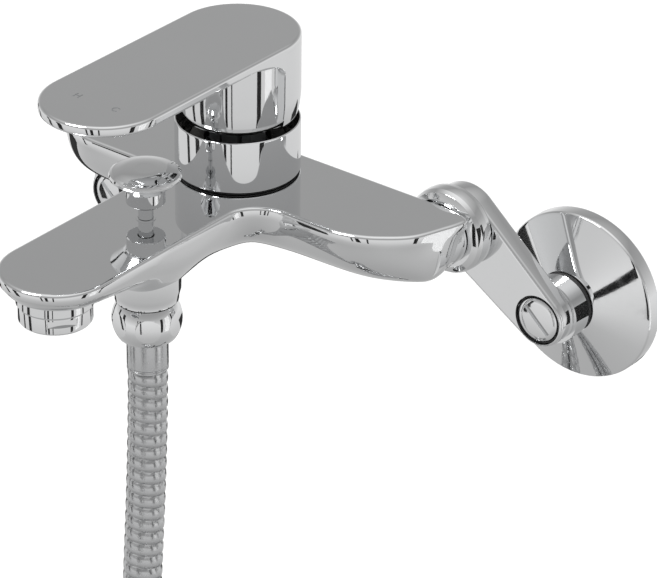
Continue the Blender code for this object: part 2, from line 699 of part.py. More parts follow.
make_body()
make_cartridge()
make_stem()
make_handle()
make_cover_ring()
make_diverter()
make_aerator()
make_outlet()
make_hose()
make_coil()
make_far_end()
make_inlets()
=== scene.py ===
"""Looks of the wall mounted bath faucet: polished chrome, rubber, brass and a spirally wound hose.

Lengths are in millimetres until place() turns them into metres in the frame's own axes. Heights are
measured from the flat top of the spout and arms, and depths from the axis of the cartridge.
"""

import json
import math

import bmesh
import bpy
from mathutils import Matrix, Vector


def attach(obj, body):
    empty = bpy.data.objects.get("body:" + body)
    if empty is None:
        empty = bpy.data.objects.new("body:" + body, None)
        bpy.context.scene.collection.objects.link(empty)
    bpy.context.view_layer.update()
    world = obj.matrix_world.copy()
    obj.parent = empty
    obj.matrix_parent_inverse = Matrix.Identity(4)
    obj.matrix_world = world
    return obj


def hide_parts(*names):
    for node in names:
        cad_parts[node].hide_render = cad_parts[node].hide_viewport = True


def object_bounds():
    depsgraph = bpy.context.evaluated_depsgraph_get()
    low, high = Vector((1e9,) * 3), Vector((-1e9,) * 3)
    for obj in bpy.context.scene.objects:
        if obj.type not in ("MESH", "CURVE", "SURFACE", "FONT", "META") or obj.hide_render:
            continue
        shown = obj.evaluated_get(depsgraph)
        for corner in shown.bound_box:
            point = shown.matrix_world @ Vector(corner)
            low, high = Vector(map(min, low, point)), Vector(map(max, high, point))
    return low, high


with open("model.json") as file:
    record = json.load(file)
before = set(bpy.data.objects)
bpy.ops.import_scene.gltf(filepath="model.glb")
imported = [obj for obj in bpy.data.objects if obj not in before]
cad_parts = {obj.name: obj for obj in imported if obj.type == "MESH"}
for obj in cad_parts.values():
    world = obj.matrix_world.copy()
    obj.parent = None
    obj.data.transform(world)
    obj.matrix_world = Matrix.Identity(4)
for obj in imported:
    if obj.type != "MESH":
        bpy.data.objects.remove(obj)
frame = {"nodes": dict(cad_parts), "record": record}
cad_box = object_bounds()

MM = 0.001
MERGE_DISTANCE = 0.000002
FLAT_ALIGNMENT = 0.99998

CAMERA_POSITION = (0.8479, -1.0969, 0.6933)
CAMERA_RIGHT = (0.78535, 0.61898, 0.00954)
CAMERA_UP = (-0.30384, 0.37200, 0.87710)
CAMERA_BEARING = 38
CAMERA_LENS = 225.75
SENSOR_WIDTH = 36.0

# Grey level of the studio from straight down (0) through the horizon (0.5) to straight up (1).
STUDIO_LEVELS = (
    (0.0, 0.42),
    (0.16, 0.55),
    (0.27, 0.74),
    (0.42, 0.86),
    (0.55, 0.62),
    (0.68, 0.42),
    (0.78, 0.36),
    (0.88, 0.55),
    (1.0, 1.0),
)
# Cards seen only in the chrome: (bearing from the camera's, width, distance, grey level), in metres.
CARDS = (
    (-28, 0.03, 0.62, 0.01),
    (-20, 0.05, 0.62, 0.01),
    (-9, 0.025, 0.60, 0.02),
    (46, 0.09, 0.60, 0.01),
    (66, 0.16, 0.60, 0.95),
    (84, 0.06, 0.60, 0.02),
    (-75, 0.10, 0.62, 0.03),
    (-98, 0.07, 0.62, 0.03),
    (-136, 0.08, 0.62, 0.02),
)
CARD_HEIGHT = 0.48
CARD_MIDDLE = 0.22

WALL_DEPTH = 64.0
INLET_HEIGHT = -12.0

HALF_WIDTH = 21.0
TIP_CENTRE = -98.7
ARM_BACK = 23.4
ARM_FRONT = -17.3
ARM_SPINE = 3.0
TOP_EDGE = 1.3
HULL_POWER = 2.3
INLET_ACROSS = 75.0

RING_RADIUS = 23.0
HANDLE_BOTTOM = 22.6
HANDLE_TOP = 55.3
HANDLE_PLATE = 4.0
HANDLE_TIP = -72.6
DIVERTER = -51.4
AERATOR = -100.2

BAR_FRONT = 33.7
BAR_BACK = 41.7
BAR_LENGTH = 45.4
BAR_RADII = (14.0, 10.7)
BAR_ANGLES = {"right": -36.5, "left": -110.0}
STOP_SLOT_ANGLE = 42.0
HUB_BACK = 49.2
ESCUTCHEON_RADIUS = 32.4
ESCUTCHEON_FRONT = 51.5
ESCUTCHEON_RIM = 5.7

HOSE_RADIUS = 7.25
HOSE_PITCH = 5.05
COIL_RADIUS = 82.0
COIL_CENTRE = (-38.0, -290.0)
COIL_PITCH = 15.0
COIL_START = 50.0
COIL_TURNS = 2.5 + COIL_START / 360
COIL_POINTS = 42
COIL_LEAVING = 0.53
TIE_TURN = 1.389
FAR_END_ACROSS = 50.0
FAR_END_RISE = 21.0
HOSE_ROUTE = (
    (0, -51.4, -61.0),
    (0, -51.6, -73),
    (0, -52.1, -87),
    (0, -52.8, -101),
    (0, -53.6, -115),
    (0, -54.6, -129),
    (0, -55.6, -143),
    (0, -56.6, -157),
    (0, -58.4, -171),
    (0, -62.6, -186),
    (0, -68.4, -198.6),
    (0, -74.4, -208.6),
    (0, -81.9, -218.2),
)


def place(across, depth, height):
    return Vector((across, depth - WALL_DEPTH, height - INLET_HEIGHT)) * MM


# ---------------------------------------------------------------- camera, light and stage


def make_camera():
    data = bpy.data.cameras.new("Camera")
    data.lens = CAMERA_LENS
    data.sensor_width = SENSOR_WIDTH
    data.clip_end = 50
    camera = bpy.data.objects.new("Camera", data)
    right = Vector(CAMERA_RIGHT)
    up = Vector(CAMERA_UP)
    back = right.cross(up)
    turn = Matrix((right, up, back)).transposed().to_4x4()
    camera.matrix_world = Matrix.Translation(CAMERA_POSITION) @ turn
    bpy.context.scene.collection.objects.link(camera)
    bpy.context.scene.camera = camera


def make_world():
    """A soft studio: light grey below, a darker grey band above the horizon, and a bright ceiling."""
    world = bpy.data.worlds.new("Studio")
    world.use_nodes = True
    nodes = world.node_tree.nodes
    links = world.node_tree.links
    coordinate = nodes.new("ShaderNodeTexCoord")
    split = nodes.new("ShaderNodeSeparateXYZ")
    ramp = nodes.new("ShaderNodeValToRGB")
    height = nodes.new("ShaderNodeMapRange")
    height.inputs["From Min"].default_value = -1.0
    links.new(coordinate.outputs["Generated"], split.inputs[0])
    links.new(split.outputs["Z"], height.inputs["Value"])
    links.new(height.outputs["Result"], ramp.inputs["Fac"])
    links.new(ramp.outputs["Color"], nodes["Background"].inputs["Color"])
    for position, level in STUDIO_LEVELS:
        stop = ramp.color_ramp.elements.new(position)
        stop.color = (level, level, level, 1.0)
    ramp.color_ramp.elements.remove(ramp.color_ramp.elements[0])
    ramp.color_ramp.elements.remove(ramp.color_ramp.elements[-1])
    nodes["Background"].inputs["Strength"].default_value = 1.0
    bpy.context.scene.world = world
    bpy.context.scene.view_settings.view_transform = "Standard"


def make_sun():
    data = bpy.data.lights.new("Key", "SUN")
    data.energy = 2.2
    data.angle = math.radians(25)
    lamp = bpy.data.objects.new("Key", data)
    lamp.rotation_euler = (math.radians(25), math.radians(-20), 0)
    bpy.context.scene.collection.objects.link(lamp)


def stage_plane(name, centre, size, turn, level):
    mesh = bpy.data.meshes.new(name)
    build = bmesh.new()
    bmesh.ops.create_grid(build, x_segments=1, y_segments=1, size=0.5)
    bmesh.ops.scale(build, vec=(size[0], size[1], 1), verts=build.verts)
    build.to_mesh(mesh)
    build.free()
    item = bpy.data.objects.new(name, mesh)
    item.location = centre
    item.rotation_euler = [math.radians(angle) for angle in turn]
    bpy.context.scene.collection.objects.link(item)
    look = bpy.data.materials.new(name)
    look.use_nodes = True
    shader = look.node_tree.nodes["Principled BSDF"]
    shader.inputs["Base Color"].default_value = (level, level, level, 1)
    shader.inputs["Roughness"].default_value = 0.9
    mesh.materials.append(look)
    return item


def hide_from_view(card):
    """Leaves a card to be seen in reflections only."""
    card.visible_camera = False
    card.visible_shadow = False
    card.visible_diffuse = False


def make_stage():
    low = cad_box[0][2]
    floor = stage_plane("floor", (0, 0, low - 0.02), (8, 8), (0, 0, 0), 0.93)
    floor.visible_glossy = False
    strip = stage_plane("low_card", (-0.33, 0.34, low - 0.01), (1.0, 0.24), (0, 0, CAMERA_BEARING), 0.01)
    hide_from_view(strip)
    middle = place(0, -20, 0)
    for index, (offset, width, distance, level) in enumerate(CARDS):
        bearing = CAMERA_BEARING + offset
        angle = math.radians(bearing)
        spot = middle + Vector((math.sin(angle), -math.cos(angle), 0)) * distance
        spot.z = low + CARD_MIDDLE
        card = stage_plane(f"card_{index}", spot, (width, CARD_HEIGHT), (90, 0, bearing), level)
        hide_from_view(card)


# ---------------------------------------------------------------- materials


def new_look(name, colour, metallic, roughness, grain, bump, colour_shift=0.0):
    """A Principled look whose roughness, height and tint vary with fine noise."""
    look = bpy.data.materials.new(name)
    look.use_nodes = True
    nodes = look.node_tree.nodes
    links = look.node_tree.links
    shader = nodes["Principled BSDF"]
    shader.inputs["Metallic"].default_value = metallic
    coordinate = nodes.new("ShaderNodeTexCoord")
    noise = nodes.new("ShaderNodeTexNoise")
    noise.inputs["Scale"].default_value = grain
    noise.inputs["Detail"].default_value = 6.0
    links.new(coordinate.outputs["Object"], noise.inputs["Vector"])
    spread = nodes.new("ShaderNodeMapRange")
    spread.inputs["From Min"].default_value = 0.3
    spread.inputs["From Max"].default_value = 0.7
    spread.inputs["To Min"].default_value = roughness[0]
    spread.inputs["To Max"].default_value = roughness[1]
    links.new(noise.outputs["Fac"], spread.inputs["Value"])
    links.new(spread.outputs["Result"], shader.inputs["Roughness"])
    ramp = nodes.new("ShaderNodeValToRGB")
    dark = [max(0.0, level - colour_shift) for level in colour]
    light = [min(1.0, level + colour_shift) for level in colour]
    ramp.color_ramp.elements[0].color = (*dark, 1)
    ramp.color_ramp.elements[1].color = (*light, 1)
    cloud = nodes.new("ShaderNodeTexNoise")
    cloud.inputs["Scale"].default_value = grain / 12
    links.new(coordinate.outputs["Object"], cloud.inputs["Vector"])
    links.new(cloud.outputs["Fac"], ramp.inputs["Fac"])
    links.new(ramp.outputs["Color"], shader.inputs["Base Color"])
    relief = nodes.new("ShaderNodeBump")
    relief.inputs["Strength"].default_value = bump
    relief.inputs["Distance"].default_value = 0.0002
    links.new(noise.outputs["Fac"], relief.inputs["Height"])
    links.new(relief.outputs["Normal"], shader.inputs["Normal"])
    return look


def make_looks():
    return {
        "chrome": new_look("Polished chrome", (0.80, 0.805, 0.81), 1.0, (0.025, 0.06), 420, 0.004, 0.012),
        "plated_steel": new_look("Plated steel", (0.56, 0.565, 0.57), 1.0, (0.16, 0.28), 900, 0.03, 0.03),
        "steel": new_look("Stainless steel", (0.56, 0.56, 0.57), 1.0, (0.22, 0.36), 700, 0.05, 0.03),
        "brass": new_look("Machined brass", (0.74, 0.57, 0.30), 1.0, (0.22, 0.38), 700, 0.06, 0.04),
        "rubber": new_look("Black rubber", (0.022, 0.022, 0.023), 0.0, (0.55, 0.8), 1200, 0.25, 0.008),
        "plastic": new_look("Grey plastic", (0.33, 0.34, 0.35), 0.0, (0.4, 0.55), 1100, 0.12, 0.02),
        "ceramic": new_look("White ceramic", (0.86, 0.86, 0.84), 0.0, (0.15, 0.28), 600, 0.02, 0.02),
        # painted shade: a near-black material that stands for the shadow in the gap inside the cover ring
        # and on the cartridge nut
        "painted_shade": new_look("Painted shade inside", (0.035, 0.034, 0.032), 0.0, (0.5, 0.7), 900, 0.1, 0.01),
        "mark": new_look("Etched mark", (0.42, 0.43, 0.44), 1.0, (0.35, 0.5), 900, 0.05, 0.02),
    }


# ---------------------------------------------------------------- shapes

TURNS = {
    "up": Matrix.Identity(4),
    "room": Matrix.Rotation(math.pi / 2, 4, "X"),
}


def at_axis(at, axis="up"):
    return Matrix.Translation(place(*at)) @ TURNS[axis]


def rounded(points, radius, loop=False):
    """A polyline with its corners rounded off."""
    result = []
    count = len(points)
    for i, corner in enumerate(points):
        if not loop and i in (0, count - 1):
            result.append(corner)
            continue
        here = Vector(corner)
        before = Vector(points[i - 1]) - here
        after = Vector(points[(i + 1) % count]) - here
        if before.length < 1e-6 or after.length < 1e-6:
            result.append(corner)
            continue
        bend = before.angle(after)
        if bend > math.radians(172):
            result.append(corner)
            continue
        cut = min(radius / math.tan(bend / 2), 0.45 * before.length, 0.45 * after.length)
        start = here + before.normalized() * cut
        end = here + after.normalized() * cut
        for k in range(5):
            t = k / 4
            result.append(tuple(start * (1 - t) ** 2 + here * 2 * t * (1 - t) + end * t**2))
    return result


def turned(build, profile, matrix, steps=96, loop=False, start=0.0, sweep=360.0):
    """Adds a surface of revolution, with flat ends where it doesn't go all the way round."""
    new = bmesh.new()
    verts = [new.verts.new((radius * MM, 0, height * MM)) for radius, height in profile]
    pairs = list(zip(verts, verts[1:]))
    if loop:
        pairs.append((verts[-1], verts[0]))
    edges = [new.edges.new(pair) for pair in pairs]
    first = Matrix.Rotation(math.radians(start), 3, "Z")
    bmesh.ops.rotate(new, verts=new.verts, cent=(0, 0, 0), matrix=first)
    if sweep < 360:
        new.faces.new(verts)
    outline = verts + edges
    around = math.radians(sweep)
    bmesh.ops.spin(new, geom=outline, cent=(0, 0, 0), axis=(0, 0, 1), angle=around, steps=steps)
    if sweep < 360:
        ends = [edge for edge in new.edges if edge.is_boundary]
        bmesh.ops.holes_fill(new, edges=ends, sides=0)
    finish_part(build, new, matrix)


def finish_part(build, new, matrix):
    bmesh.ops.remove_doubles(new, verts=new.verts, dist=MERGE_DISTANCE)
    bmesh.ops.recalc_face_normals(new, faces=new.faces)
    bmesh.ops.transform(new, matrix=matrix, verts=new.verts)
    mesh = bpy.data.meshes.new("part")
    new.to_mesh(mesh)
    new.free()
    build.from_mesh(mesh)
    bpy.data.meshes.remove(mesh)


def arc(centre, radius, start, end, count):
    wide, high = radius if isinstance(radius, tuple) else (radius, radius)
    points = []
    for i in range(count + 1):
        angle = math.radians(start + (end - start) * i / count)
        points.append((centre[0] + wide * math.cos(angle), centre[1] + high * math.sin(angle)))
    return points


def slab(build, outline, thickness, edge, matrix):
    """Adds a flat outline with rounded edges, centred on its plane."""
    curve = bpy.data.curves.new("slab", "CURVE")
    curve.dimensions = "2D"
    curve.fill_mode = "BOTH"
    curve.extrude = (thickness / 2 - edge) * MM
    curve.bevel_depth = edge * MM
    curve.bevel_resolution = 5
    curve.offset = -edge * MM
    spline = curve.splines.new("POLY")
    spline.points.add(len(outline) - 1)
    spline.use_cyclic_u = True
    for point, (u, v) in zip(spline.points, outline):
        point.co = (u * MM, v * MM, 0, 1)
    guide = bpy.data.objects.new("slab", curve)
    bpy.context.scene.collection.objects.link(guide)
    bpy.context.view_layer.update()
    mesh = bpy.data.meshes.new_from_object(guide.evaluated_get(bpy.context.evaluated_depsgraph_get()))
    bpy.data.objects.remove(guide, do_unlink=True)
    new = bmesh.new()
    new.from_mesh(mesh)
    bpy.data.meshes.remove(mesh)
    finish_part(build, new, matrix)


def shade(mesh, sharp):
    """Smooth shading that breaks at sharp edges, and leaves faces square to an axis truly flat."""
    mesh.shade_smooth()
    mesh.set_sharp_from_angle(angle=math.radians(sharp))
    for face in mesh.polygons:
        if max(abs(part) for part in face.normal) > FLAT_ALIGNMENT:
            face.use_smooth = False


def piece(name, build, body, look, replaces, sharp=32):
    mesh = bpy.data.meshes.new(name)
    build.to_mesh(mesh)
    build.free()
    shade(mesh, sharp)
    mesh.materials.append(looks[look])
    item = bpy.data.objects.new(name, mesh)
    bpy.context.scene.collection.objects.link(item)
    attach(item, body)
    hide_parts(*replaces)
    return item


def lathe_piece(name, profile, at, body, look="chrome", axis="up", steps=96, soft=0.3, loop=True):
    """A turned piece with softened corners, standing for the node that it is named after."""
    build = bmesh.new()
    turned(build, rounded(profile, soft, loop), at_axis(at, axis), steps, loop)
    return piece(name, build, body, look, (name.removesuffix("_skin"),))


def boolean(item, build, operation):
    """Applies a Boolean with a shape that is thrown away afterwards."""
    mesh = bpy.data.meshes.new("cutter")
    build.to_mesh(mesh)
    build.free()
    other = bpy.data.objects.new("cutter", mesh)
    bpy.context.scene.collection.objects.link(other)
    modifier = item.modifiers.new("cut", "BOOLEAN")
    modifier.operation = operation
    modifier.object = other
    bpy.context.view_layer.update()
    evaluated = item.evaluated_get(bpy.context.evaluated_depsgraph_get())
    result = bpy.data.meshes.new_from_object(evaluated)
    item.modifiers.clear()
    old = item.data
    item.data = result
    bpy.data.meshes.remove(old)
    bpy.data.objects.remove(other, do_unlink=True)
    shade(result, 28)


# ---------------------------------------------------------------- hose


def smooth_route(points, spacing):
    knots = [Vector(point) for point in points]
    knots = [2 * knots[0] - knots[1], *knots, 2 * knots[-1] - knots[-2]]
    path = []
    for a, b, c, d in zip(knots, knots[1:], knots[2:], knots[3:]):
        count = max(1, round((c - b).length / spacing))
        for i in range(count):
            t = i / count
            bend = (2 * a - 5 * b + 4 * c - d) * t**2 + (3 * b - a - 3 * c + d) * t**3
            path.append(0.5 * (2 * b + (c - a) * t + bend))
    path.append(knots[-2])
    return path


def coil_points():
    """Twelve or more points for each turn, stepping sideways one hose diameter a turn."""
    depth, height = COIL_CENTRE
    points = []
    for i in range(COIL_POINTS + 1):
        share = COIL_TURNS * i / COIL_POINTS
        angle = math.radians(COIL_START - 360 * share)
        across = COIL_PITCH * share
        last = max(0.0, share - (COIL_TURNS - COIL_LEAVING)) / COIL_LEAVING
        start = COIL_PITCH * (COIL_TURNS - COIL_LEAVING)
        if last:
            across = start + (FAR_END_ACROSS - start) * (3 * last**2 - 2 * last**3)
        along = COIL_RADIUS * math.cos(angle)
        points.append((across, depth - along, height + COIL_RADIUS * math.sin(angle)))
    return points


def hose_path():
    depth, height = COIL_CENTRE
    end = (FAR_END_ACROSS, depth + COIL_RADIUS, height)
    tail = [(end[0], end[1], end[2] + rise) for rise in (7, 14, FAR_END_RISE - 0.3)]
    return smooth_route([*HOSE_ROUTE, *coil_points(), *tail], HOSE_PITCH / 8)


def strip_profile(share):
    """Height of the wound strip across one pitch: a crowned band and a narrow groove."""
    share = share % 1.0
    groove = 0.26
    if share < groove:
        return -0.62 * math.sin(math.pi * share / groove)
    return 0.16 * math.sin(math.pi * (share - groove) / (1 - groove))


def make_hose():
    path = hose_path()
    sides = 28
    build = bmesh.new()
    side = Vector((1, 0, 0))
    travelled = 0.0
    before = path[0]
    rings = []
    for i, spot in enumerate(path):
        ahead = path[min(i + 1, len(path) - 1)] - path[max(i - 1, 0)]
        ahead.normalize()
        side = (side - ahead * side.dot(ahead)).normalized()
        other = ahead.cross(side)
        travelled += (spot - before).length
        before = spot
        ring = []
        for k in range(sides):
            angle = 2 * math.pi * k / sides
            radius = HOSE_RADIUS - 0.05 + strip_profile(travelled / HOSE_PITCH + k / sides)
            offset = (side * math.cos(angle) + other * math.sin(angle)) * radius
            ring.append(build.verts.new(place(*(spot + offset))))
        rings.append(ring)
    for first, second in zip(rings, rings[1:]):
        for k in range(sides):
            j = (k + 1) % sides
            build.faces.new((first[k], second[k], second[j], first[j]))
    build.faces.new(rings[0])
    build.faces.new(list(reversed(rings[-1])))
    bmesh.ops.recalc_face_normals(build, faces=build.faces)
    hose = piece("hose_skin", build, "body", "plated_steel", ("shower_hose", "hose_coil"), sharp=60)
    return hose, [place(*spot) for spot in path[::8]]


def ferrule_profile(top):
    outside = [(9.6, top), (9.6, top - 1.6), (6.7, top - 1.6), (6.7, top - 5.8), (7.6, top - 5.8)]
    ring = [(7.6, top - 16.4), (7.35, top - 16.7), (7.35, top - 17.1), (7.65, top - 17.4)]
    return [*outside, *ring, (7.65, top - 18.2), (5.0, top - 18.2), (5.0, top)]


def make_hose_fittings():
    at = (0, DIVERTER, 0)
    ferrule = lathe_piece("hose_ferrule_skin", ferrule_profile(-42.4), at, "body", "plated_steel")
    nut = make_hose_nut()
    depth, height = COIL_CENTRE
    at = (FAR_END_ACROSS, depth + COIL_RADIUS, height + FAR_END_RISE)
    far_ferrule = lathe_piece("far_ferrule_skin", ferrule_profile(18.2), at, "body", "plated_steel")
    outside = [(11.3, 29.0), (12.0, 28.3), (12.0, 24.0), (11.6, 20.5), (10.4, 16.4), (8.6, 13.6)]
    inside = [(7.8, 13.0), (6.9, 13.0), (6.9, 16.3), (9.9, 16.3), (10.2, 18.5), (10.2, 29.0)]
    far_nut = lathe_piece("far_nut_skin", outside + inside, at, "body")
    tie = make_tie()
    return [ferrule, nut, far_ferrule, far_nut, tie]


def make_hose_nut():
    ball = arc((0, -39.9), (12.8, 12.6), 36, -50, 24)
    ball = [(radius, height) for radius, height in ball if height > -47.8]
    profile = [(11.4, -32.6), *ball, (7.9, -47.8), (6.9, -47.8), (6.9, -44.3), (9.9, -44.3)]
    profile += [(10.2, -42.2), (10.2, -32.6)]
    build = bmesh.new()
    turned(build, rounded(profile, 0.25, True), at_axis((0, DIVERTER, 0)), 120, True)
    nut = piece("hose_nut_skin", build, "body", "chrome", ("hose_nut",))
    prism = bmesh.new()
    apothem = 11.95
    corner = apothem / math.cos(math.pi / 6)
    turn = at_axis((0, DIVERTER, 0)) @ Matrix.Rotation(math.radians(-18), 4, "Z")
    turned(prism, [(0, -30), (corner, -30), (corner, -50), (0, -50)], turn, 6)
    boolean(nut, prism, "INTERSECT")
    return nut


def make_tie():
    """A rubber strap round the turns at the top of the coil."""
    depth, height = COIL_CENTRE
    middle = COIL_PITCH * TIE_TURN
    wide, tall, band = 15.6, 8.2, 1.4
    outline = []
    inner = []
    for grow, points in ((band, outline), (0.0, inner)):
        for corner_u, corner_v, start in ((1, 1, 0), (-1, 1, 90), (-1, -1, 180), (1, -1, 270)):
            centre = (corner_u * (wide - 7), corner_v * (tall - 7))
            points += arc(centre, 7 + grow, start, start + 90, 8)
    build = bmesh.new()
    for half in (-5, 5):
        for points in (outline, inner):
            for u, v in points:
                build.verts.new(place(middle + u, depth + half, height + COIL_RADIUS + v))
    build.verts.ensure_lookup_table()
    count = len(outline)
    for i in range(count):
        j = (i + 1) % count
        rows = [(0, count), (count, 3 * count), (3 * count, 2 * count), (2 * count, 0)]
        for first, second in rows:
            build.faces.new([build.verts[k] for k in (first + i, first + j, second + j, second + i)])
    buckle = Matrix.Translation(place(middle, depth, height + COIL_RADIUS + tall + 2.0))
    slab(build, arc((0, 0), (6, 5.5), 0, 360, 24)[:-1], 2.6, 0.8, buckle)
    bmesh.ops.recalc_face_normals(build, faces=build.faces)
    return piece("hose_tie_skin", build, "body", "rubber", ("hose_tie",))


# ---------------------------------------------------------------- body


def between(table, value):
    rows = sorted(table)
    if value <= rows[0][0]:
        return rows[0][1]
    for (low, first), (high, second) in zip(rows, rows[1:]):
        if value <= high:
            t = (value - low) / (high - low)
            return first + (second - first) * t
    return rows[-1][1]


SPOUT_DEPTHS = ((3, 24.4), (-20, 23.8), (-35, 22.3), (-60, 19.0), (-80, 16.2), (-98.7, 12.8), (-108, 10.4))
ARM_TIP = (
    (70, 23.4),
    (76, 23.3),
    (82, 22.9),
    (86.5, 21.9),
    (89.4, 19.6),
    (89.0, 15.5),
    (87.3, 10.1),
    (82.3, -2.4),
    (73.3, -10.9),
    (66, -15.1),
    (60, -17.0),
)
TIP_SPINE = (80.0, 9.5)
ARM_DEPTHS = ((0, 24.4), (17, 24.2), (43, 23.4), (62, 23.6), (73, 23.6), (81, 23.4))


def hull_ribs():
    """(rim point, spine point, depth) for each rib of the right half, from the back to the spout's tip."""
    ribs = []
    for across in range(0, 70, 2):
        ribs.append(((across, ARM_BACK), (across, ARM_SPINE), between(ARM_DEPTHS, across)))
    edge = smooth_route([(across, depth, 0) for across, depth in ARM_TIP], 1.4)
    for i, spot in enumerate(edge):
        share = i / (len(edge) - 1)
        out = 1 - abs(2 * share - 1)
        ease = min(1.0, 1.6 * out)
        base = 70 if share < 0.5 else 60
        inner = base + (TIP_SPINE[0] - base) * ease
        spine = (inner, ARM_SPINE + (TIP_SPINE[1] - ARM_SPINE) * ease**1.5)
        ribs.append(((spot.x, spot.y), spine, between(ARM_DEPTHS, spine[0])))
    for across in (58, 55, 52, 49, 46, 43, 40, 38):
        ribs.append(((across, ARM_FRONT), (across, ARM_SPINE), between(ARM_DEPTHS, across)))
    for i in range(37):
        angle = math.radians(90 - 2.5 * i)
        rim = (36 - 15 * math.cos(angle), -30 + 12.7 * math.sin(angle))
        if i <= 18:
            spine = (36 * (18 - i) / 18, ARM_SPINE)
            depth = between(ARM_DEPTHS, spine[0])
        else:
            spine = (0, ARM_SPINE - (30 + ARM_SPINE) * (i - 18) / 18)
            depth = between(SPOUT_DEPTHS, spine[1])
        ribs.append((rim, spine, depth))
    depth = -32.0
    while depth > TIP_CENTRE:
        ribs.append(((HALF_WIDTH, depth), (0, depth), between(SPOUT_DEPTHS, depth)))
        depth -= 2.0
    for i in range(37):
        angle = math.radians(2.5 * i)
        rim = (HALF_WIDTH * math.cos(angle), TIP_CENTRE - HALF_WIDTH * math.sin(angle))
        spine = (0, TIP_CENTRE - 9.0 * math.sin(angle) ** 2)
        ribs.append((rim, spine, between(SPOUT_DEPTHS, spine[1])))
    return ribs


def outlet_flare(radius):
    """Height of the flare that carries the underside down to the shower outlet."""
    over = max(0.0, radius - 12.0)
    return -29.5 + 4.6 * over**0.62


def soft_min(a, b, blend):
    h = max(0.0, min(1.0, 0.5 + 0.5 * (b - a) / blend))
    return b * (1 - h) + a * h - blend * h * (1 - h)


def rib_points(rim, spine, depth, inward):
    """Points of one rib: over the rounded top edge, then down the hull to the spine."""
    rim = Vector(rim)
    spine = Vector(spine)
    points = []
    for i in range(6):
        angle = math.radians(90 - 18 * i)
        inset = TOP_EDGE * (1 - math.cos(angle))
        spot = rim + inward * inset
        points.append((spot.x, spot.y, -TOP_EDGE * (1 - math.sin(angle))))
    count = 26
    for i in range(1, count + 1):
        angle = math.pi / 2 * i / count
        share = 1 - math.cos(angle) ** (2 / HULL_POWER)
        if i == count:
            share = 1.0
        drop = TOP_EDGE + (depth - TOP_EDGE) * math.sin(angle) ** (2 / HULL_POWER)
        spot = rim + (spine - rim) * share
        height = -drop
        reach = math.hypot(spot.x, spot.y - DIVERTER)
        if reach < 30:
            height = soft_min(height, outlet_flare(reach), 2.5)
        points.append((spot.x, spot.y, height))
    return points


def make_body():
    right = hull_ribs()
    left = [((-rim[0], rim[1]), (-spine[0], spine[1]), depth) for rim, spine, depth in reversed(right)]
    ribs = right[:-1] + left[:-1]
    count = len(ribs)
    build = bmesh.new()
    rows = []
    for i, (rim, spine, depth) in enumerate(ribs):
        along = Vector(ribs[(i + 1) % count][0]) - Vector(ribs[i - 1][0])
        inward = Vector((along.y, -along.x)).normalized()
        if inward.dot(Vector(spine) - Vector(rim)) < 0:
            inward = -inward
        rows.append([build.verts.new(place(*point)) for point in rib_points(rim, spine, depth, inward)])
    for first, second in zip(rows, rows[1:] + rows[:1]):
        for k in range(len(first) - 1):
            build.faces.new((first[k], first[k + 1], second[k + 1], second[k]))
    build.faces.new([row[0] for row in rows])
    bmesh.ops.remove_doubles(build, verts=build.verts, dist=0.00001)
    bmesh.ops.recalc_face_normals(build, faces=build.faces)
    blend_underside(build)
    add_bosses(build)
    piece("body_skin", build, "body", "chrome", ("body_casting",), sharp=35)


def blend_underside(build):
    """Softens the casting where the spout, the arms and the outlet run together."""
    lowest_kept = place(0, 0, -4.5).z
    soft = [vert for vert in build.verts if vert.co.z < lowest_kept]
    axes = {"use_axis_x": True, "use_axis_y": True, "use_axis_z": True}
    for _ in range(60):
        bmesh.ops.smooth_vert(build, verts=soft, factor=0.5, **axes)


def add_bosses(build):
    outlet = [(8.1, -20), (12.6, -20), (12.4, -27.6), (11.9, -29.4), (11.6, -31.0), (11.6, -31.9)]
    outlet += [(11.3, -32.2), (8.1, -32.2)]
    turned(build, outlet, at_axis((0, DIVERTER, 0)), 96, loop=True)
    collar = [(0, -8), (13.9, -8), (13.9, -12.3), (13.6, -12.6), (11.9, -12.6), (0, -12.6)]
    turned(build, collar, at_axis((0, AERATOR, 0)), 96)
    neck = [(20.6, -2), (20.6, 12.4), (20.0, 13.0), (17.8, 13.0), (17.8, -2)]
    turned(build, neck, at_axis((0, 0, 0)), 96, loop=True)
    for side in (-1, 1):
        boss = [(6.6, -8), (11.6, -8), (11.6, -23.5), (11.2, -23.9), (6.6, -23.9)]
        turned(build, boss, at_axis((side * INLET_ACROSS, 0, INLET_HEIGHT), "room"), 64, loop=True)


# ---------------------------------------------------------------- handle


def make_handle():
    build = bmesh.new()
    outline = arc((0, 0), RING_RADIUS, 0, 180, 64)
    outline += arc((0, HANDLE_TIP), RING_RADIUS, 180, 360, 64)
    slab(build, outline, HANDLE_PLATE, 1.2, at_axis((0, 0, HANDLE_TOP - HANDLE_PLATE / 2)))
    side = RING_RADIUS
    wall = [(19.0, 52.6), (side, 52.6), (side, 32), (22.8, 29.5), (22.4, 26.5), (21.9, 24)]
    wall += [(21.3, 22.75), (20.6, HANDLE_BOTTOM), (19.0, HANDLE_BOTTOM)]
    turned(build, wall, at_axis((0, 0, 0)), 72, start=-2.5, sweep=185)
    hub = [(0, 52), (22.9, 51.6), (22.2, 50.8), (21.5, 49.6), (21.1, 48), (21.0, 30)]
    hub += [(20.7, 25.5), (20.2, 23.4), (19.6, HANDLE_BOTTOM)]
    cavity = [(17.5, HANDLE_BOTTOM), (17.5, 36), (0, 36)]
    turned(build, rounded([*hub, *cavity], 0.4), at_axis((0, 0, 0)), 120)
    add_arch(build)
    piece("handle_skin", build, "lever", "chrome", ("handle",), sharp=30)
    for letter, across in (("H", -8.6), ("C", 8.6)):
        make_mark(letter, across)


